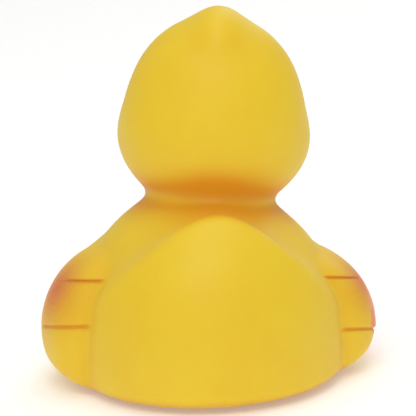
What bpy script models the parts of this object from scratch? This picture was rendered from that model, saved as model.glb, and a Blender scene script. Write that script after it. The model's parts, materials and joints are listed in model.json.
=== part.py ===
"""Rubber duck: a hollow bath toy moulded in one piece from soft vinyl.

Metres, +Z up. The duck faces +Y, its tail is towards -Y, and its flat base lies on Z = 0.
The shell is one closed skin with a sealed-in hollow that opens through one small air hole
in the base.

How it is built: the masses of the toy (hull, tail, shoulders, wings, head, tuft, bill) are laid
out as primitives and fused into one skin by a voxel remesh. The skin is then settled onto
the blended surface of the same masses, so neighbouring masses flow into each other as they do
in a mould. The hollow is the same surface set back by the wall, and a Boolean takes it out.
"""
import bmesh
import bpy
import numpy as np
from mathutils import Matrix, Vector

MM = 0.001

# Shell
WALL = 2.2 * MM
BASE_ROUNDING = 3.8 * MM
VENT_RADIUS = 1.5 * MM
VENT_Y = 12.0 * MM

# The middle of the toy's outline in plan, measured from the middle of its hull
MIDDLE = (0.2 * MM, 1.33 * MM, 0)

# Hull, tail and shoulders: centres (x, y, z) from the middle of the hull, and radii
HULL_CENTRE = (0, 0, 7.3 * MM)
HULL_RADII = (35.6 * MM, 38.5 * MM, 25.0 * MM)
RUMP_CENTRE = (0, -6.6 * MM, 13.8 * MM)
RUMP_RADII = (34.8 * MM, 35.9 * MM, 41.7 * MM)
TAIL_TIP = (0, -36.0 * MM, 55.3 * MM)
TAIL_TIP_ROUNDING = 9.5 * MM
TAIL_SLOPE = 0.92
TAIL_DIP = 0.42
TAIL_EDGE = 2.5 * MM
SHOULDER_FOOT = (0, 1.8 * MM, 16.5 * MM)
SHOULDER_FOOT_RADIUS = 35.5 * MM
NECK = (0, 3.7 * MM, 46.8 * MM)
NECK_RADIUS = 12.5 * MM
RUMP_FILLET = 6.0 * MM
SHOULDER_FILLET = 8.0 * MM

# Below the rim of this bowl the hull and wings tuck in towards the base
BOWL_RIM = (0, 0, 22.4 * MM)
BOWL_RADII = (56.0 * MM, 58.8 * MM, 28.0 * MM)
BOWL_EDGE = 3.0 * MM

# Wings: one pad each side, lapped into three feathers by two creases. The pads stand off the
# hull behind and melt into the breast in front.
WING_CENTRE = (20.9 * MM, 1.0 * MM, 14.3 * MM)
WING_RADII = (25.2 * MM, 28.7 * MM, 23.0 * MM)
WING_TILT = 4.0
WING_END_Y = -18.5 * MM
WING_END_ROUNDING = 9.0 * MM
WING_FILLET = 1.2 * MM
BREAST_FILLET = 10.2 * MM
BREAST_START = 6.0 * MM
BREAST_LENGTH = 20.0 * MM
CREASES_LEFT = (30.0 * MM, 18.5 * MM)
CREASES_RIGHT = (30.3 * MM, 14.7 * MM)
CREASE_RISE = (-0.21, -0.31)
CREASE_DEPTH = 0.55 * MM
CREASE_WIDTH = 0.8 * MM
CREASE_FRONT = (1.0 * MM, 5.7 * MM)
CREASE_FADE = 11.5 * MM
CREASE_LEVEL_Y = -15.0 * MM
LAP_STEP = 0.35 * MM
LAP_LENGTH = 5.0 * MM

# The whole toy leans gently towards its right side with height, up to the neck
LEAN_PER_METRE = 2.0
LEAN_TOP = 46.5 * MM

# Head, turned slightly on the neck
HEAD_PIVOT = (0, 2.8 * MM, 32.5 * MM)
HEAD_TURN = -8.5
CRANIUM_CENTRE = (0, 6.5 * MM, 72.1 * MM)
CRANIUM_RADII = (24.4 * MM, 21.0 * MM, 26.6 * MM)
JOWL_CENTRE = (0, 6.5 * MM, 62.6 * MM)
JOWL_RADII = (22.2 * MM, 20.0 * MM, 13.7 * MM)
CHEEK_CENTRE = (13.0 * MM, 10.7 * MM, 64.8 * MM)
CHEEK_RADII = (11.3 * MM, 11.7 * MM, 9.2 * MM)
TUFT_CENTRE = (0, 4.8 * MM, 92.4 * MM)
TUFT_RADII = (6.4 * MM, 12.0 * MM, 8.2 * MM)
UPPER_BILL_CENTRE = (0, 31.6 * MM, 58.6 * MM)
UPPER_BILL_RADII = (13.0 * MM, 14.0 * MM, 4.9 * MM)
LOWER_BILL_CENTRE = (0, 29.8 * MM, 54.0 * MM)
LOWER_BILL_RADII = (10.7 * MM, 11.7 * MM, 3.7 * MM)
JOWL_FILLET = 12.0 * MM
CHEEK_FILLET = 6.0 * MM
TUFT_FILLET = 5.0 * MM
MOUTH_FILLET = 0.8 * MM
BILL_FILLET = 1.5 * MM
NECK_FILLET = 4.0 * MM

# Mesh densities
STOCK_VOXEL = 1.6 * MM
SKIN_VOXEL = 0.8 * MM
SKIN_FACES = 6400
HOLLOW_VOXEL = 2.4 * MM
HOLLOW_FACES = 1600

SKIN_COLOUR = (0.86, 0.60, 0.03, 1.0)


# ---- The blended surface: negative inside, zero on the skin, positive outside ----

def length(v):
    return np.sqrt((v * v).sum(-1))


def mirrored(p):
    """Both sides at once: the side with X below zero is folded onto the other."""
    return np.stack([np.abs(p[..., 0]), p[..., 1], p[..., 2]], -1)


def ball(p, centre, radii):
    q = (p - np.array(centre)) / np.array(radii)
    reach = length(q)
    return reach * (reach - 1) / np.maximum(length(q / np.array(radii)), 1e-9)


def taper(p, a, b, radius_a, radius_b):
    """The hull of one sphere at a and one at b."""
    a = np.array(a)
    b = np.array(b)
    along = b - a
    l2 = along @ along
    rr = radius_a - radius_b
    a2 = l2 - rr * rr
    pa = p - a
    y = pa @ along
    z = y - l2
    x = pa * l2 - y[..., None] * along
    x2 = (x * x).sum(-1)
    y2 = y * y * l2
    z2 = z * z * l2
    k = np.sign(rr) * rr * rr * x2
    past_b = np.sqrt(x2 + z2) / l2 - radius_b
    past_a = np.sqrt(x2 + y2) / l2 - radius_a
    flank = (np.sqrt(x2 * a2 / l2) + y * rr) / l2 - radius_a
    low_end = np.where(np.sign(y) * a2 * y2 < k, past_a, flank)
    return np.where(np.sign(z) * a2 * z2 > k, past_b, low_end)


def join(a, b, k):
    """Union with a fillet of about k."""
    h = np.maximum(k - np.abs(a - b), 0) / k
    return np.minimum(a, b) - h * h * k / 4


def trim(a, b, k):
    """Intersection with a rounding of about k."""
    return -join(-a, -b, k)


def lean(z):
    """Lean angle and sideways drift of the toy at height z."""
    low = np.clip(z, 0, LEAN_TOP)
    angle = LEAN_PER_METRE * low
    return angle, angle * (z - low / 2) * (z > 0)


def upright(p):
    """Takes points on the leaning toy back to where they lie with the toy upright."""
    p = p + np.array(MIDDLE)
    angle, drift = lean(p[..., 2])
    x = p[..., 0] - drift
    return np.stack([x, p[..., 1], p[..., 2] + angle * x], -1)


def leaning(p):
    """The other way round."""
    z = p[..., 2].copy()
    for _ in range(3):
        angle, drift = lean(z)
        z = p[..., 2] - angle * p[..., 0]
    return np.stack([p[..., 0] + drift, p[..., 1], z], -1) - np.array(MIDDLE)


def head_turn():
    return Matrix.Rotation(np.radians(HEAD_TURN), 3, "Z")


def tail_roof(p):
    """The top of the tail: it falls away from the tip to both sides, and dips towards the neck."""
    q = p - np.array(TAIL_TIP)
    aside = np.sqrt(q[..., 0] ** 2 + TAIL_TIP_ROUNDING**2) - TAIL_TIP_ROUNDING
    steepness = np.sqrt(1 + TAIL_SLOPE**2 + TAIL_DIP**2)
    return (q[..., 2] + TAIL_SLOPE * aside + TAIL_DIP * q[..., 1]) / steepness


def tail(p):
    return trim(ball(p, RUMP_CENTRE, RUMP_RADII), tail_roof(p), TAIL_EDGE)


def body(p):
    hull = ball(p, HULL_CENTRE, HULL_RADII)
    shoulders = taper(p, SHOULDER_FOOT, NECK, SHOULDER_FOOT_RADIUS, NECK_RADIUS)
    return join(join(hull, tail(p), RUMP_FILLET), shoulders, SHOULDER_FILLET)


def wings(p):
    q = mirrored(p)
    tilt = np.array(Matrix.Rotation(np.radians(WING_TILT), 3, "Y"))
    pad = ball((q - np.array(WING_CENTRE)) @ tilt, (0, 0, 0), WING_RADII)
    pad = trim(pad, WING_END_Y - q[..., 1], WING_END_ROUNDING)
    for left, right, front in zip(CREASES_LEFT, CREASES_RIGHT, CREASE_FRONT):
        height = np.where(p[..., 0] > 0, right, left)
        rise = np.where(p[..., 0] > 0, CREASE_RISE[1], CREASE_RISE[0])
        above = q[..., 2] - height - rise * (q[..., 1] - CREASE_LEVEL_Y)
        fade = np.clip((front - q[..., 1]) / CREASE_FADE, 0, 1)
        groove = np.exp(-(above / CREASE_WIDTH) ** 2)
        lap = np.where(above > 0, np.exp(-above / LAP_LENGTH), 0) * (1 - groove)
        pad = pad + fade * fade * (3 - 2 * fade) * (CREASE_DEPTH * groove - LAP_STEP * lap)
    return pad


def head(p):
    h = (p - np.array(HEAD_PIVOT)) @ np.array(head_turn()) + np.array(HEAD_PIVOT)
    cranium = ball(h, CRANIUM_CENTRE, CRANIUM_RADII)
    skull = join(cranium, ball(h, JOWL_CENTRE, JOWL_RADII), JOWL_FILLET)
    skull = join(skull, ball(mirrored(h), CHEEK_CENTRE, CHEEK_RADII), CHEEK_FILLET)
    skull = join(skull, ball(h, TUFT_CENTRE, TUFT_RADII), TUFT_FILLET)
    upper = ball(h, UPPER_BILL_CENTRE, UPPER_BILL_RADII)
    lower = ball(h, LOWER_BILL_CENTRE, LOWER_BILL_RADII)
    return join(skull, join(upper, lower, MOUTH_FILLET), BILL_FILLET)


def bowl(p):
    below = np.stack([p[..., 0], p[..., 1], np.minimum(p[..., 2], BOWL_RIM[2])], -1)
    return ball(below, BOWL_RIM, BOWL_RADII)


def duck_surface(p):
    q = upright(p)
    forward = np.clip((q[..., 1] - BREAST_START) / BREAST_LENGTH, 0, 1)
    skin = join(body(q), wings(q), WING_FILLET + (BREAST_FILLET - WING_FILLET) * forward)
    skin = trim(skin, bowl(q), BOWL_EDGE)
    skin = join(skin, head(q), NECK_FILLET)
    return trim(skin, -p[..., 2], BASE_ROUNDING)


def slope(surface, p):
    e = 0.05 * MM
    steps = np.eye(3) * e
    return np.stack([surface(p + s) - surface(p - s) for s in steps], -1) / (2 * e)


# ---- Blender modelling ----

def points(mesh):
    flat = np.empty(len(mesh.vertices) * 3, np.float32)
    mesh.vertices.foreach_get("co", flat)
    return flat.reshape(-1, 3).astype(float)


def place_points(mesh, p):
    mesh.vertices.foreach_set("co", p.astype(np.float32).ravel())
    mesh.update()


def add_ball(bm, centre, radii, frame=Matrix()):
    place = frame @ Matrix.Translation(centre) @ Matrix.Diagonal((*radii, 1))
    bmesh.ops.create_icosphere(bm, subdivisions=4, radius=1, matrix=place)


def add_taper(bm, a, b, radius_a, radius_b):
    """The convex hull of two spheres."""
    own = bmesh.new()
    for centre, radius in ((a, radius_a), (b, radius_b)):
        place = Matrix.Translation(centre) @ Matrix.Scale(radius, 4)
        bmesh.ops.create_icosphere(own, subdivisions=3, radius=1, matrix=place)
    bmesh.ops.delete(own, geom=own.edges[:], context="EDGES_FACES")
    bmesh.ops.convex_hull(own, input=own.verts[:])
    inner = [v for v in own.verts if not v.link_faces]
    bmesh.ops.delete(own, geom=inner, context="VERTS")
    mesh = bpy.data.meshes.new("taper")
    own.to_mesh(mesh)
    own.free()
    bm.from_mesh(mesh)
    bpy.data.meshes.remove(mesh)


def masses(name, inset):
    """The toy's masses as overlapping primitives, each shrunk by inset."""
    pivot = Matrix.Translation(HEAD_PIVOT)
    posed = pivot @ head_turn().to_4x4() @ pivot.inverted()

    def less(radii):
        return tuple(r - inset for r in radii)

    bm = bmesh.new()
    add_ball(bm, HULL_CENTRE, less(HULL_RADII))
    add_ball(bm, RUMP_CENTRE, less(RUMP_RADII))
    add_taper(bm, SHOULDER_FOOT, NECK, SHOULDER_FOOT_RADIUS - inset, NECK_RADIUS - inset)
    for side in (-1, 1):
        across = Matrix.Diagonal((side, 1, 1, 1))
        add_ball(bm, across @ Vector(WING_CENTRE), less(WING_RADII))
        add_ball(bm, across @ Vector(CHEEK_CENTRE), less(CHEEK_RADII), posed)
    for centre, radii in (
        (CRANIUM_CENTRE, CRANIUM_RADII),
        (JOWL_CENTRE, JOWL_RADII),
        (TUFT_CENTRE, TUFT_RADII),
        (UPPER_BILL_CENTRE, UPPER_BILL_RADII),
        (LOWER_BILL_CENTRE, LOWER_BILL_RADII),
    ):
        add_ball(bm, centre, less(radii), posed)
    bmesh.ops.recalc_face_normals(bm, faces=bm.faces)
    mesh = bpy.data.meshes.new(name)
    bm.to_mesh(mesh)
    bm.free()
    place_points(mesh, leaning(points(mesh)))
    obj = bpy.data.objects.new(name, mesh)
    bpy.context.scene.collection.objects.link(obj)
    return obj


def fused(obj, voxel):
    """One skin around everything in obj."""
    remesh = obj.modifiers.new("fuse", "REMESH")
    remesh.mode = "VOXEL"
    remesh.voxel_size = voxel
    remesh.adaptivity = 0
    apply_modifiers(obj)


def apply_modifiers(obj):
    graph = bpy.context.evaluated_depsgraph_get()
    mesh = bpy.data.meshes.new_from_object(obj.evaluated_get(graph))
    obj.modifiers.clear()
    obj.data = mesh
    mesh.name = obj.name


def settle(obj, inset, rounds):
    """Moves every vertex onto the blended surface, set back by inset."""
    p = points(obj.data)
    for _ in range(rounds):
        g = slope(duck_surface, p)
        size = np.maximum(length(g), 0.3)
        off = duck_surface(p) / size + inset
        p = p - np.clip(off, -2 * MM, 2 * MM)[:, None] * g / size[:, None]
    place_points(obj.data, p)


def level_foot(obj):
    """Brings the barely raised rim of the flat foot down onto Z = 0."""
    p = points(obj.data)
    p[:, 2] = np.where(p[:, 2] < 0.05 * MM, 0, p[:, 2])
    place_points(obj.data, p)


def thinned(obj, faces):
    """Fewer faces, fewest where the skin is flattest."""
    triangles = sum(len(face.vertices) - 2 for face in obj.data.polygons)
    decimate = obj.modifiers.new("thin", "DECIMATE")
    decimate.ratio = faces / triangles
    apply_modifiers(obj)


def vinyl():
    material = bpy.data.materials.new("vinyl")
    material.use_nodes = True
    shader = material.node_tree.nodes["Principled BSDF"]
    shader.inputs["Base Color"].default_value = SKIN_COLOUR
    shader.inputs["Roughness"].default_value = 0.42
    shader.inputs["Subsurface Weight"].default_value = 0.15
    shader.inputs["Subsurface Scale"].default_value = 0.004
    return material


def skin():
    duck = masses("duck", 0)
    fused(duck, STOCK_VOXEL)
    settle(duck, 0, 6)
    fused(duck, SKIN_VOXEL)
    settle(duck, 0, 6)
    thinned(duck, SKIN_FACES)
    settle(duck, 0, 3)
    level_foot(duck)
    duck.data.materials.append(vinyl())
    for face in duck.data.polygons:
        face.use_smooth = True
    return duck


def hollow():
    """The air space inside the shell."""
    cutter = masses("hollow_cutter", WALL)
    fused(cutter, STOCK_VOXEL)
    settle(cutter, WALL, 8)
    fused(cutter, HOLLOW_VOXEL)
    settle(cutter, WALL, 6)
    thinned(cutter, HOLLOW_FACES)
    return cutter


def vent():
    """The air hole left by the mould, straight up through the base."""
    bm = bmesh.new()
    place = Matrix.Translation((0, VENT_Y, WALL / 2))
    bmesh.ops.create_cone(
        bm,
        cap_ends=True,
        segments=24,
        radius1=VENT_RADIUS,
        radius2=VENT_RADIUS,
        depth=WALL + 6 * MM,
        matrix=place,
    )
    mesh = bpy.data.meshes.new("vent_cutter")
    bm.to_mesh(mesh)
    bm.free()
    cutter = bpy.data.objects.new("vent_cutter", mesh)
    bpy.context.scene.collection.objects.link(cutter)
    return cutter


def take_out(obj, cutter):
    boolean = obj.modifiers.new("less_" + cutter.name, "BOOLEAN")
    boolean.operation = "DIFFERENCE"
    boolean.solver = "EXACT"
    boolean.object = cutter
    cutter.hide_render = True
    cutter.display_type = "WIRE"


for old in list(bpy.data.objects):
    bpy.data.objects.remove(old, do_unlink=True)

shell = skin()
take_out(shell, hollow())
take_out(shell, vent())
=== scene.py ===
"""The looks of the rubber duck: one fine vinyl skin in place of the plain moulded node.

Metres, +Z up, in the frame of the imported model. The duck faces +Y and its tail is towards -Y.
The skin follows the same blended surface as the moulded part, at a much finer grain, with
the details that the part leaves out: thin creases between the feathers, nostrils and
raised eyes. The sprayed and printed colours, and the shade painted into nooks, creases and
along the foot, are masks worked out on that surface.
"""
import json

import bmesh
import bpy
import numpy as np
from mathutils import Matrix, Vector

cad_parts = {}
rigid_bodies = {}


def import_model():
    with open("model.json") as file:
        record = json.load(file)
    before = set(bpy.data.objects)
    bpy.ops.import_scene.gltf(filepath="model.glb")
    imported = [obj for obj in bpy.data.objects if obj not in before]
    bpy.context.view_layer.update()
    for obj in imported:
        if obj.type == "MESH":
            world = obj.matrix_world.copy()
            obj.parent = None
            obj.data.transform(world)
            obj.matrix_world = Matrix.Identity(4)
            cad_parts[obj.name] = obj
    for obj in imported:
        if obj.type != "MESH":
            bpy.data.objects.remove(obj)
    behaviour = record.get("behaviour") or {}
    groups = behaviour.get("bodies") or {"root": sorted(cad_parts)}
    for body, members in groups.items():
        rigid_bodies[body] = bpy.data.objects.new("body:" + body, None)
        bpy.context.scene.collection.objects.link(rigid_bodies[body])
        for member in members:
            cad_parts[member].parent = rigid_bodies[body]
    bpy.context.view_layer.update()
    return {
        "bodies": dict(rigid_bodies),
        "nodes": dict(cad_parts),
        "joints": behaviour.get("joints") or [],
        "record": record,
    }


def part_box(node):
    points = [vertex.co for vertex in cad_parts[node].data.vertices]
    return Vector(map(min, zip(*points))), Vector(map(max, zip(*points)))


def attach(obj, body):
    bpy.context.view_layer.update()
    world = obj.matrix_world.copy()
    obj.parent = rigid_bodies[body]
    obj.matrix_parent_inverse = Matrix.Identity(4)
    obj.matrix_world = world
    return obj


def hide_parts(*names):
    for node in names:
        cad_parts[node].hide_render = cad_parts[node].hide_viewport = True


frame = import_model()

LOW, HIGH = (np.array(corner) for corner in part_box("duck"))

# All lengths below are in millimetres of a duck that is this tall, and follow the frame's height
DRAWN_HEIGHT = 101.0
MM = (HIGH[2] - LOW[2]) / DRAWN_HEIGHT

# The middle of the toy's outline in plan, measured from the middle of its hull
MIDDLE = (0.2 * MM - 0.5 * (LOW[0] + HIGH[0]), 1.33 * MM - 0.5 * (LOW[1] + HIGH[1]), 0)

# Hull, tail and shoulders: centres (x, y, z) from the middle of the hull, and radii
HULL_CENTRE = (0, 0, 7.3 * MM)
HULL_RADII = (35.6 * MM, 38.5 * MM, 25.0 * MM)
RUMP_CENTRE = (0, -6.6 * MM, 13.8 * MM)
RUMP_RADII = (34.8 * MM, 35.9 * MM, 41.7 * MM)
TAIL_TIP = (0, -36.0 * MM, 55.3 * MM)
TAIL_TIP_ROUNDING = 9.5 * MM
TAIL_SLOPE = 0.92
TAIL_DIP = 0.42
TAIL_EDGE = 2.5 * MM
SHOULDER_FOOT = (0, 1.8 * MM, 16.5 * MM)
SHOULDER_FOOT_RADIUS = 35.5 * MM
NECK = (0, 3.7 * MM, 46.8 * MM)
NECK_RADIUS = 12.5 * MM
RUMP_FILLET = 6.0 * MM
SHOULDER_FILLET = 8.0 * MM

# Below the rim of this bowl the hull and wings tuck in towards the base
BOWL_RIM = (0, 0, 22.4 * MM)
BOWL_RADII = (56.0 * MM, 58.8 * MM, 28.0 * MM)
BOWL_EDGE = 3.0 * MM

# Wings: one pad each side, lapped into three feathers by two creases. The pads stand off the
# hull behind and melt into the breast in front.
WING_CENTRE = (20.9 * MM, 1.0 * MM, 14.3 * MM)
WING_RADII = (25.2 * MM, 28.7 * MM, 23.0 * MM)
WING_TILT = 4.0
WING_END_Y = -18.5 * MM
WING_END_ROUNDING = 9.0 * MM
WING_FILLET = 1.2 * MM
BREAST_FILLET = 10.2 * MM
BREAST_START = 6.0 * MM
BREAST_LENGTH = 20.0 * MM
CREASES_LEFT = (30.0 * MM, 18.5 * MM)
CREASES_RIGHT = (30.3 * MM, 14.7 * MM)
CREASE_RISE = (-0.21, -0.31)
CREASE_DEPTH = 0.45 * MM
CREASE_WIDTH = 0.42 * MM
CREASE_FRONT = (1.0 * MM, 5.7 * MM)
CREASE_FADE = 11.5 * MM
CREASE_LEVEL_Y = -15.0 * MM
LAP_STEP = 0.35 * MM
LAP_LENGTH = 5.0 * MM

# The whole toy leans gently towards its right side with height, up to the neck
LEAN_PER_METRE = 2.0
LEAN_TOP = 46.5 * MM

# Head, turned slightly on the neck
HEAD_PIVOT = (0, 2.8 * MM, 32.5 * MM)
HEAD_TURN = -8.5
CRANIUM_CENTRE = (0, 6.5 * MM, 72.1 * MM)
CRANIUM_RADII = (24.4 * MM, 21.0 * MM, 26.6 * MM)
JOWL_CENTRE = (0, 6.5 * MM, 62.6 * MM)
JOWL_RADII = (22.2 * MM, 20.0 * MM, 13.7 * MM)
CHEEK_CENTRE = (13.0 * MM, 10.7 * MM, 64.8 * MM)
CHEEK_RADII = (11.3 * MM, 11.7 * MM, 9.2 * MM)
TUFT_CENTRE = (0, 4.8 * MM, 92.4 * MM)
TUFT_RADII = (6.4 * MM, 12.0 * MM, 8.2 * MM)
UPPER_BILL_CENTRE = (0, 31.6 * MM, 58.6 * MM)
UPPER_BILL_RADII = (13.0 * MM, 14.0 * MM, 4.9 * MM)
LOWER_BILL_CENTRE = (0, 29.8 * MM, 54.0 * MM)
LOWER_BILL_RADII = (10.7 * MM, 11.7 * MM, 3.7 * MM)
JOWL_FILLET = 12.0 * MM
CHEEK_FILLET = 6.0 * MM
TUFT_FILLET = 5.0 * MM
MOUTH_FILLET = 0.8 * MM
BILL_FILLET = 1.5 * MM
NECK_FILLET = 4.0 * MM

# Air hole in the base
VENT_RADIUS = 1.5 * MM
VENT_Y = 12.0 * MM
VENT_DEPTH = 6.0 * MM
BASE_ROUNDING = 3.8 * MM

# Face: printed eyes, slightly raised, and nostrils, all on the mirrored head
EYE_TURN = 39.0
EYE_RADIUS = 22.0 * MM
EYE_SPOT = (0, 74.5 * MM)
EYE_RADII = (3.0 * MM, 4.2 * MM)
EYE_RAISE = 0.35 * MM
GLINT_SPOT = (-0.9 * MM, 76.3 * MM)
GLINT_RADII = (0.9 * MM, 1.1 * MM)
NOSTRIL_CENTRE = (4.4 * MM, 26.5 * MM, 63.0 * MM)
NOSTRIL_RADII = (0.7 * MM, 1.5 * MM, 0.9 * MM)
NOSTRIL_EDGE = 0.5 * MM

# Sprayed blush on the outer face of each wing
BLUSH_CENTRE = (44.0 * MM, -4.0 * MM, 27.0 * MM)
BLUSH_RADII = (9.0 * MM, 12.0 * MM, 9.0 * MM)

# How far out from the skin its shelter is felt, for the shade painted amber into nooks
NOOK_SHADE_REACHES = (4.0 * MM, 8.0 * MM, 14.0 * MM, 20.0 * MM)

# Mesh grain
STOCK_VOXEL = 1.6 * MM
SKIN_VOXEL = 0.7 * MM
SHOULDER_STEPS = 7
DETAIL_BANDS = (2.0 * MM, 0.9 * MM)

# Colours, as linear RGBA
YELLOW = (0.88, 0.62, 0.022, 1.0)
YELLOW_WARM = (0.87, 0.585, 0.02, 1.0)
# Amber of the shade painted into nooks and feather creases
AMBER_SHADE = (0.80, 0.33, 0.01, 1.0)
# Brown of the contact shadow painted along the foot
FOOT_SHADOW_BROWN = (0.62, 0.20, 0.02, 1.0)
BLUSH = (0.72, 0.16, 0.035, 1.0)
BILL_ORANGE = (0.86, 0.19, 0.012, 1.0)
BILL_ORANGE_DEEP = (0.82, 0.165, 0.01, 1.0)
EYE_BLACK = (0.012, 0.011, 0.011, 1.0)
EYE_WHITE = (0.88, 0.88, 0.85, 1.0)
PAPER = (0.93, 0.93, 0.93, 1.0)
PAPER_SHADE = (0.90, 0.90, 0.90, 1.0)

# Studio
FLOOR_HALF = 6.0
AMBIENT = 0.42
KEY_POWER = 9.0
TOP_POWER = 6.0
FRONT_POWER = 3.0
PAPER_GLOW = 0.25

# Camera
CAMERA_TURN = -5.57
CAMERA_RISE = 13.15
CAMERA_ROLL = -2.65
CAMERA_LENS = 221.0
CAMERA_DISTANCE = 0.6977
CAMERA_AIM_HEIGHT = 0.0465
CAMERA_ASIDE = 0.0014
CAMERA_ABOVE = -0.0001


# ---- The blended surface: negative inside, zero on the skin, positive outside ----

def length(v):
    return np.sqrt((v * v).sum(-1))


def mirrored(p):
    """Both sides at once: the side with X below zero is folded onto the other."""
    return np.stack([np.abs(p[..., 0]), p[..., 1], p[..., 2]], -1)


def ball(p, centre, radii):
    q = (p - np.array(centre)) / np.array(radii)
    reach = length(q)
    return reach * (reach - 1) / np.maximum(length(q / np.array(radii)), 1e-9)


def taper(p, a, b, radius_a, radius_b):
    """The hull of one sphere at a and one at b."""
    a = np.array(a)
    b = np.array(b)
    along = b - a
    l2 = along @ along
    rr = radius_a - radius_b
    a2 = l2 - rr * rr
    pa = p - a
    y = pa @ along
    z = y - l2
    x = pa * l2 - y[..., None] * along
    x2 = (x * x).sum(-1)
    y2 = y * y * l2
    z2 = z * z * l2
    k = np.sign(rr) * rr * rr * x2
    past_b = np.sqrt(x2 + z2) / l2 - radius_b
    past_a = np.sqrt(x2 + y2) / l2 - radius_a
    flank = (np.sqrt(x2 * a2 / l2) + y * rr) / l2 - radius_a
    low_end = np.where(np.sign(y) * a2 * y2 < k, past_a, flank)
    return np.where(np.sign(z) * a2 * z2 > k, past_b, low_end)


def join(a, b, k):
    """Union with a fillet of about k."""
    h = np.maximum(k - np.abs(a - b), 0) / k
    return np.minimum(a, b) - h * h * k / 4


def trim(a, b, k):
    """Intersection with a rounding of about k."""
    return -join(-a, -b, k)


def lean(z):
    """Lean angle and sideways drift of the toy at height z."""
    low = np.clip(z, 0, LEAN_TOP)
    angle = LEAN_PER_METRE * low
    return angle, angle * (z - low / 2) * (z > 0)


def upright(p):
    """Takes points on the leaning toy back to where they lie with the toy upright."""
    p = p + np.array(MIDDLE)
    angle, drift = lean(p[..., 2])
    x = p[..., 0] - drift
    return np.stack([x, p[..., 1], p[..., 2] + angle * x], -1)


def leaning(p):
    """The other way round."""
    z = p[..., 2].copy()
    for _ in range(3):
        angle, drift = lean(z)
        z = p[..., 2] - angle * p[..., 0]
    return np.stack([p[..., 0] + drift, p[..., 1], z], -1) - np.array(MIDDLE)


def head_turn():
    return Matrix.Rotation(np.radians(HEAD_TURN), 3, "Z")


def tail_roof(p):
    """The top of the tail: it falls away from the tip to both sides, and dips towards the neck."""
    q = p - np.array(TAIL_TIP)
    aside = np.sqrt(q[..., 0] ** 2 + TAIL_TIP_ROUNDING**2) - TAIL_TIP_ROUNDING
    steepness = np.sqrt(1 + TAIL_SLOPE**2 + TAIL_DIP**2)
    return (q[..., 2] + TAIL_SLOPE * aside + TAIL_DIP * q[..., 1]) / steepness


def tail(p):
    return trim(ball(p, RUMP_CENTRE, RUMP_RADII), tail_roof(p), TAIL_EDGE)


def body(p):
    hull = ball(p, HULL_CENTRE, HULL_RADII)
    shoulders = taper(p, SHOULDER_FOOT, NECK, SHOULDER_FOOT_RADIUS, NECK_RADIUS)
    return join(join(hull, tail(p), RUMP_FILLET), shoulders, SHOULDER_FILLET)


def crease_lines(p):
    """For each crease: the height above its line, and how strongly it is cut there."""
    q = mirrored(p)
    right_side = p[..., 0] > 0
    rise = np.where(right_side, CREASE_RISE[1], CREASE_RISE[0])
    for left, right, front in zip(CREASES_LEFT, CREASES_RIGHT, CREASE_FRONT):
        height = np.where(right_side, right, left)
        above = q[..., 2] - height - rise * (q[..., 1] - CREASE_LEVEL_Y)
        fade = np.clip((front - q[..., 1]) / CREASE_FADE, 0, 1)
        yield above, fade * fade * (3 - 2 * fade)


def groove(above):
    return np.exp(-(above / CREASE_WIDTH) ** 2)


def wings(p):
    q = mirrored(p)
    tilt = np.array(Matrix.Rotation(np.radians(WING_TILT), 3, "Y"))
    pad = ball((q - np.array(WING_CENTRE)) @ tilt, (0, 0, 0), WING_RADII)
    pad = trim(pad, WING_END_Y - q[..., 1], WING_END_ROUNDING)
    for above, strength in crease_lines(p):
        lap = np.where(above > 0, np.exp(-above / LAP_LENGTH), 0) * (1 - groove(above))
        pad = pad + strength * (CREASE_DEPTH * groove(above) - LAP_STEP * lap)
    return pad


def in_head(p):
    """Points as the head sees them, with its turn on the neck undone."""
    return (p - np.array(HEAD_PIVOT)) @ np.array(head_turn()) + np.array(HEAD_PIVOT)


def eye_reach(h, spot, radii):
    """Grows from 0 at the middle of an oval on the side of the face to 1 at its edge."""
    aside = np.abs(h[..., 0])
    ahead = h[..., 1] - CRANIUM_CENTRE[1]
    across = (np.arctan2(aside, ahead) - np.radians(EYE_TURN)) * EYE_RADIUS - spot[0]
    up = h[..., 2] - spot[1]
    return np.sqrt((across / radii[0]) ** 2 + (up / radii[1]) ** 2)


def skull(h):
    cranium = ball(h, CRANIUM_CENTRE, CRANIUM_RADII)
    skin = join(cranium, ball(h, JOWL_CENTRE, JOWL_RADII), JOWL_FILLET)
    skin = join(skin, ball(mirrored(h), CHEEK_CENTRE, CHEEK_RADII), CHEEK_FILLET)
    skin = join(skin, ball(h, TUFT_CENTRE, TUFT_RADII), TUFT_FILLET)
    in_eye = np.clip((1.12 - eye_reach(h, EYE_SPOT, EYE_RADII)) / 0.3, 0, 1)
    return skin - EYE_RAISE * in_eye * in_eye * (3 - 2 * in_eye)


def lips(h):
    upper = ball(h, UPPER_BILL_CENTRE, UPPER_BILL_RADII)
    upper = trim(upper, -ball(mirrored(h), NOSTRIL_CENTRE, NOSTRIL_RADII), NOSTRIL_EDGE)
    return upper, ball(h, LOWER_BILL_CENTRE, LOWER_BILL_RADII)


def bill(h):
    return join(*lips(h), MOUTH_FILLET)


def head(p):
    h = in_head(p)
    return join(skull(h), bill(h), BILL_FILLET)


def bowl(p):
    below = np.stack([p[..., 0], p[..., 1], np.minimum(p[..., 2], BOWL_RIM[2])], -1)
    return ball(below, BOWL_RIM, BOWL_RADII)


def duck_surface(p):
    q = upright(p)
    forward = np.clip((q[..., 1] - BREAST_START) / BREAST_LENGTH, 0, 1)
    skin = join(body(q), wings(q), WING_FILLET + (BREAST_FILLET - WING_FILLET) * forward)
    skin = trim(skin, bowl(q), BOWL_EDGE)
    skin = join(skin, head(q), NECK_FILLET)
    return trim(skin, -p[..., 2], BASE_ROUNDING)


def slope(surface, p):
    e = 0.05 * MM
    steps = np.eye(3) * e
    return np.stack([surface(p + s) - surface(p - s) for s in steps], -1) / (2 * e)


def blush(p):
    """Density of the sprayed blush, thinning out from the middle of the wing's outer face."""
    q = (mirrored(upright(p)) - np.array(BLUSH_CENTRE)) / np.array(BLUSH_RADII)
    return np.exp(-length(q) ** 2)


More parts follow.
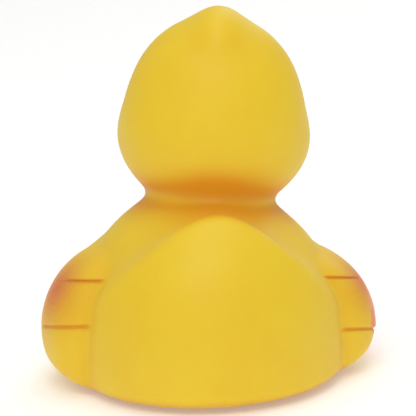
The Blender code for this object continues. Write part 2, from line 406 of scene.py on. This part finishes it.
def crease_shade(p):
    """1 in the bottom of a feather's crease, 0 away from it: where shade is painted into the creases."""
    q = upright(p)
    on_wing = wings(q) < body(q)
    return sum(strength * np.exp(-(above / (2 * CREASE_WIDTH)) ** 2) for above, strength in crease_lines(q)) * on_wing


def nook_shade(p):
    """How closely the rest of the toy stands over each place: 0 in the open, towards 1 in a nook. It sets where shade
    is painted amber into the nooks.
    """
    outward = slope(duck_surface, p)
    outward /= np.maximum(length(outward), 0.3)[..., None]
    closed = [1 - duck_surface(p + outward * far) / far for far in NOOK_SHADE_REACHES]
    return np.clip(np.mean(closed, axis=0), 0, 1)


def detail_distance(p):
    """Distance along the skin to the nearest line that needs a fine mesh."""
    q = upright(p)
    h = in_head(q)
    upper, lower = lips(h)
    mouth = np.maximum(np.abs(upper - lower), bill(h))
    lines = [mouth, np.abs(skull(h) - bill(h)), np.abs(wings(q) - body(q))]
    for above, strength in crease_lines(q):
        lines.append(np.where((strength > 0.02) & (wings(q) < 1 * MM), np.abs(above), 1))
    eye = np.abs(eye_reach(h, EYE_SPOT, EYE_RADII) - 1) * EYE_RADII[0]
    lines.append(np.where((h[..., 1] > CRANIUM_CENTRE[1]) & (skull(h) < 1 * MM), eye, 1))
    lines.append(np.maximum(length(mirrored(h) - np.array(NOSTRIL_CENTRE)) - 1 * MM, 0))
    return np.min(lines, axis=0)


# ---- The skin: one fine mesh settled onto the surface ----

def points(mesh):
    flat = np.empty(len(mesh.vertices) * 3, np.float32)
    mesh.vertices.foreach_get("co", flat)
    return flat.reshape(-1, 3).astype(float)


def place_points(mesh, p):
    mesh.vertices.foreach_set("co", p.astype(np.float32).ravel())
    mesh.update()


def add_ball(bm, centre, radii, frame=Matrix()):
    place = frame @ Matrix.Translation(centre) @ Matrix.Diagonal((*radii, 1))
    bmesh.ops.create_icosphere(bm, subdivisions=4, radius=1, matrix=place)


def masses():
    """The toy's masses as overlapping balls, a rough stock for the skin."""
    pivot = Matrix.Translation(HEAD_PIVOT)
    posed = pivot @ head_turn().to_4x4() @ pivot.inverted()
    bm = bmesh.new()
    add_ball(bm, HULL_CENTRE, HULL_RADII)
    add_ball(bm, RUMP_CENTRE, RUMP_RADII)
    for step in range(SHOULDER_STEPS):
        share = step / (SHOULDER_STEPS - 1)
        centre = Vector(SHOULDER_FOOT).lerp(Vector(NECK), share)
        radius = SHOULDER_FOOT_RADIUS + (NECK_RADIUS - SHOULDER_FOOT_RADIUS) * share
        add_ball(bm, centre, (radius,) * 3)
    for side in (-1, 1):
        across = Matrix.Diagonal((side, 1, 1, 1))
        add_ball(bm, across @ Vector(WING_CENTRE), WING_RADII)
        add_ball(bm, across @ Vector(CHEEK_CENTRE), CHEEK_RADII, posed)
    for centre, radii in (
        (CRANIUM_CENTRE, CRANIUM_RADII),
        (JOWL_CENTRE, JOWL_RADII),
        (TUFT_CENTRE, TUFT_RADII),
        (UPPER_BILL_CENTRE, UPPER_BILL_RADII),
        (LOWER_BILL_CENTRE, LOWER_BILL_RADII),
    ):
        add_ball(bm, centre, radii, posed)
    bmesh.ops.recalc_face_normals(bm, faces=bm.faces)
    mesh = bpy.data.meshes.new("duck_skin")
    bm.to_mesh(mesh)
    bm.free()
    place_points(mesh, leaning(points(mesh)))
    obj = bpy.data.objects.new("duck_skin", mesh)
    bpy.context.scene.collection.objects.link(obj)
    return obj


def apply_modifiers(obj):
    graph = bpy.context.evaluated_depsgraph_get()
    mesh = bpy.data.meshes.new_from_object(obj.evaluated_get(graph))
    obj.modifiers.clear()
    obj.data = mesh
    mesh.name = obj.name


def fused(obj, voxel):
    """One skin around everything in obj."""
    remesh = obj.modifiers.new("fuse", "REMESH")
    remesh.mode = "VOXEL"
    remesh.voxel_size = voxel
    remesh.adaptivity = 0
    apply_modifiers(obj)


def relaxed(obj, rounds):
    """Evens out the spacing of the mesh; settle then puts it back on the surface."""
    smooth = obj.modifiers.new("relax", "SMOOTH")
    smooth.factor = 0.5
    smooth.iterations = rounds
    apply_modifiers(obj)


def settle(obj, rounds):
    """Moves every vertex onto the surface."""
    p = points(obj.data)
    for _ in range(rounds):
        g = slope(duck_surface, p)
        size = np.maximum(length(g), 0.3)
        off = np.clip(duck_surface(p) / size, -2 * MM, 2 * MM)
        p = p - off[:, None] * g / size[:, None]
    place_points(obj.data, p)


def split_near_detail(obj, reach):
    """Splits the faces that lie within reach of a crease, an edge or a painted eye."""
    bm = bmesh.new()
    bm.from_mesh(obj.data)
    near = detail_distance(points(obj.data)) < reach
    edges = [e for e in bm.edges if near[e.verts[0].index] and near[e.verts[1].index]]
    bmesh.ops.subdivide_edges(bm, edges=edges, cuts=1, use_grid_fill=True)
    bm.to_mesh(obj.data)
    bm.free()
    obj.data.update()


def level_foot(obj):
    """Brings the barely raised rim of the flat foot down onto the ground."""
    p = points(obj.data)
    p[:, 2] = np.where(p[:, 2] < 0.05 * MM, 0, p[:, 2])
    place_points(obj.data, p)


def drill_vent(obj):
    """The mould's air hole in the base."""
    bm = bmesh.new()
    bmesh.ops.create_cone(
        bm,
        cap_ends=True,
        segments=48,
        radius1=VENT_RADIUS,
        radius2=VENT_RADIUS,
        depth=2 * VENT_DEPTH,
        matrix=Matrix.Translation((0, VENT_Y, 0)),
    )
    mesh = bpy.data.meshes.new("vent_cutter")
    bm.to_mesh(mesh)
    bm.free()
    cutter = bpy.data.objects.new("vent_cutter", mesh)
    bpy.context.scene.collection.objects.link(cutter)
    boolean = obj.modifiers.new("vent", "BOOLEAN")
    boolean.operation = "DIFFERENCE"
    boolean.solver = "EXACT"
    boolean.object = cutter
    apply_modifiers(obj)
    bpy.data.objects.remove(cutter)
    bpy.data.meshes.remove(mesh)


def write_mask(mesh, name, values):
    layer = mesh.attributes.new(name, "FLOAT", "POINT")
    layer.data.foreach_set("value", values.astype(np.float32))


def paint_masks(obj):
    """Where each sprayed or printed colour and each patch of painted shade lies, as smooth values that the material
    cuts off or blends in.
    """
    p = points(obj.data)
    h = in_head(upright(p))
    write_mask(obj.data, "bill", (skull(h) - bill(h)) / MM)
    write_mask(obj.data, "eye", eye_reach(h, EYE_SPOT, EYE_RADII))
    write_mask(obj.data, "glint", eye_reach(h, GLINT_SPOT, GLINT_RADII))
    write_mask(obj.data, "blush", blush(p))
    write_mask(obj.data, "crease_shade", crease_shade(p))
    write_mask(obj.data, "height", p[:, 2] / MM)
    write_mask(obj.data, "nook_shade", nook_shade(p))


def duck_skin():
    duck = masses()
    fused(duck, STOCK_VOXEL)
    settle(duck, 6)
    fused(duck, SKIN_VOXEL)
    settle(duck, 4)
    relaxed(duck, 4)
    settle(duck, 3)
    for reach in DETAIL_BANDS:
        split_near_detail(duck, reach)
        settle(duck, 2)
    level_foot(duck)
    drill_vent(duck)
    for face in duck.data.polygons:
        face.use_smooth = True
    paint_masks(duck)
    return duck


# ---- Vinyl: one satin skin with everything sprayed and printed on it, and shade painted into its nooks, creases and foot ----

class Graph:
    """Short calls for laying out a material's nodes."""

    def __init__(self, name):
        self.material = bpy.data.materials.new(name)
        self.material.use_nodes = True
        self.tree = self.material.node_tree
        self.shader = self.tree.nodes["Principled BSDF"]

    def node(self, kind, **settings):
        node = self.tree.nodes.new("ShaderNode" + kind)
        for name, value in settings.items():
            setattr(node, name, value)
        return node

    def plug(self, socket, value):
        """A socket takes another node's output or a plain value."""
        if isinstance(value, bpy.types.NodeSocket):
            self.tree.links.new(value, socket)
        else:
            socket.default_value = value

    def mask(self, name):
        return self.node("Attribute", attribute_name=name).outputs["Fac"]

    def noise(self, scale, detail=2.0, roughness=0.5):
        """Noise with features about 1 / scale metres across, from 0 to 1."""
        node = self.node("TexNoise")
        self.plug(node.inputs["Vector"], self.node("TexCoord").outputs["Object"])
        self.plug(node.inputs["Scale"], scale)
        self.plug(node.inputs["Detail"], detail)
        self.plug(node.inputs["Roughness"], roughness)
        return node.outputs["Fac"]

    def ramp(self, value, low, high, least=0.0, most=1.0):
        """Runs smoothly from least to most while value runs from low to high."""
        node = self.node("MapRange", interpolation_type="SMOOTHSTEP")
        for name, number in zip(
            ("Value", "From Min", "From Max", "To Min", "To Max"), (value, low, high, least, most)
        ):
            self.plug(node.inputs[name], number)
        return node.outputs["Result"]

    def math(self, operation, a, b):
        node = self.node("Math", operation=operation)
        self.plug(node.inputs[0], a)
        self.plug(node.inputs[1], b)
        return node.outputs[0]

    def blend(self, share, a, b):
        """Colour a, turning into b as share goes to 1."""
        node = self.node("Mix", data_type="RGBA")
        self.plug(node.inputs["Factor"], share)
        self.plug(node.inputs[6], a)
        self.plug(node.inputs[7], b)
        return node.outputs[2]

    def bump(self, height, strength, distance, under=None):
        node = self.node("Bump")
        self.plug(node.inputs["Strength"], strength)
        self.plug(node.inputs["Distance"], distance)
        self.plug(node.inputs["Height"], height)
        if under is not None:
            self.plug(node.inputs["Normal"], under)
        return node.outputs["Normal"]


def vinyl():
    g = Graph("vinyl")
    cloud = g.noise(55.0, 3.0)
    speckle = g.noise(2600.0, 2.0)

    colour = g.blend(g.ramp(cloud, 0.3, 0.7), YELLOW, YELLOW_WARM)
    # Painted shade: the yellow turns amber where the rest of the toy closes over the skin, in nooks and under the
    # head
    colour = g.blend(g.ramp(g.mask("nook_shade"), 0.0, 0.65, 0.0, 0.9), colour, AMBER_SHADE)
    # Painted shade: thin amber lines along the bottoms of the feather creases
    colour = g.blend(g.ramp(g.mask("crease_shade"), 0.0, 1.0, 0.0, 0.35), colour, AMBER_SHADE)
    # Painted shadow: brown in the last few millimetres above the base, where the foot meets the floor
    colour = g.blend(g.ramp(g.mask("height"), 4.5, 0.0, 0.0, 0.75), colour, FOOT_SHADOW_BROWN)

    spray = g.math("MULTIPLY", g.mask("blush"), g.ramp(speckle, 0.25, 0.7, 0.75, 1.15))
    colour = g.blend(spray, colour, BLUSH)
    bill_edge = g.math("ADD", g.mask("bill"), g.ramp(g.noise(900.0), 0.3, 0.7, -0.08, 0.08))
    bill = g.ramp(bill_edge, 0.15, 0.3)
    bill_colour = g.blend(g.ramp(cloud, 0.35, 0.65), BILL_ORANGE, BILL_ORANGE_DEEP)
    colour = g.blend(bill, colour, bill_colour)
    eye = g.ramp(g.mask("eye"), 1.02, 0.98)
    colour = g.blend(eye, colour, EYE_BLACK)
    glint = g.ramp(g.mask("glint"), 1.06, 0.94)
    colour = g.blend(glint, colour, EYE_WHITE)

    satin = g.ramp(cloud, 0.3, 0.7, 0.46, 0.54)
    satin = g.math("ADD", satin, g.ramp(speckle, 0.3, 0.7, -0.03, 0.03))
    painted = g.math("MAXIMUM", eye, bill)
    gloss = g.math("MULTIPLY", painted, 0.14)
    g.plug(g.shader.inputs["Roughness"], g.math("SUBTRACT", satin, gloss))

    orange_peel = g.bump(g.noise(320.0, 2.0), 0.25, 0.00012)
    grain = g.bump(speckle, 0.18, 0.00003, orange_peel)
    g.plug(g.shader.inputs["Normal"], grain)

    g.plug(g.shader.inputs["Base Color"], colour)
    g.shader.inputs["IOR"].default_value = 1.46
    g.shader.inputs["Specular IOR Level"].default_value = 0.4
    g.shader.inputs["Subsurface Weight"].default_value = 0.35
    g.shader.inputs["Subsurface Radius"].default_value = (1.0, 0.45, 0.08)
    g.shader.inputs["Subsurface Scale"].default_value = 0.0035
    g.shader.inputs["Sheen Weight"].default_value = 0.05
    g.shader.inputs["Sheen Roughness"].default_value = 0.5
    return g.material


# ---- Studio ----

def floor():
    """A pale sweep of paper with a faint tooth."""
    g = Graph("studio_paper")
    tooth = g.noise(180.0, 4.0)
    g.plug(g.shader.inputs["Base Color"], g.blend(g.ramp(tooth, 0.3, 0.7), PAPER, PAPER_SHADE))
    g.plug(g.shader.inputs["Roughness"], g.ramp(tooth, 0.3, 0.7, 0.85, 0.95))
    g.shader.inputs["Emission Color"].default_value = PAPER
    g.shader.inputs["Emission Strength"].default_value = PAPER_GLOW
    bm = bmesh.new()
    bmesh.ops.create_grid(bm, x_segments=8, y_segments=8, size=FLOOR_HALF)
    mesh = bpy.data.meshes.new("floor")
    bm.to_mesh(mesh)
    bm.free()
    mesh.materials.append(g.material)
    obj = bpy.data.objects.new("floor", mesh)
    obj.location.z = LOW[2] - 0.0001
    bpy.context.scene.collection.objects.link(obj)


def softbox(name, place, target, size, power, tint=(1.0, 1.0, 1.0)):
    light = bpy.data.lights.new(name, "AREA")
    light.shape = "DISK"
    light.size = size
    light.energy = power
    light.color = tint
    obj = bpy.data.objects.new(name, light)
    obj.location = place
    obj.rotation_euler = (Vector(target) - Vector(place)).to_track_quat("-Z", "Y").to_euler()
    bpy.context.scene.collection.objects.link(obj)


def studio():
    floor()
    world = bpy.data.worlds.new("studio")
    world.use_nodes = True
    background = world.node_tree.nodes["Background"]
    background.inputs["Color"].default_value = (1.0, 0.99, 0.97, 1.0)
    background.inputs["Strength"].default_value = AMBIENT
    bpy.context.scene.world = world
    middle = (0, 0, 0.5 * HIGH[2])
    softbox("key", (-0.25, -1.1, 1.3), middle, 1.1, KEY_POWER)
    softbox("top", (0.1, 0.1, 1.5), middle, 1.2, TOP_POWER)
    softbox("front", (0.6, 1.2, 0.9), middle, 1.0, FRONT_POWER)
    bpy.context.scene.view_settings.view_transform = "Standard"


def camera():
    """Behind the duck, a little to its left and a little above, as the toy was pictured."""
    turn = np.radians(CAMERA_TURN)
    rise = np.radians(CAMERA_RISE)
    roll = np.radians(CAMERA_ROLL)
    back = Vector((np.sin(turn) * np.cos(rise), -np.cos(turn) * np.cos(rise), np.sin(rise)))
    right = Vector((0, 0, 1)).cross(back).normalized()
    up = back.cross(right)
    right, up = (
        right * np.cos(roll) + up * np.sin(roll),
        up * np.cos(roll) - right * np.sin(roll),
    )
    data = bpy.data.cameras.new("camera")
    data.sensor_width = 36.0
    data.lens = CAMERA_LENS
    obj = bpy.data.objects.new("camera", data)
    aim = Vector((0, 0, CAMERA_AIM_HEIGHT)) + right * CAMERA_ASIDE + up * CAMERA_ABOVE
    frame_matrix = Matrix((right, up, back)).transposed().to_4x4()
    frame_matrix.translation = aim + back * CAMERA_DISTANCE
    obj.matrix_world = frame_matrix
    bpy.context.scene.collection.objects.link(obj)
    bpy.context.scene.camera = obj


duck = duck_skin()
duck.data.materials.append(vinyl())
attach(duck, "root")
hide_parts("duck")
studio()
camera()
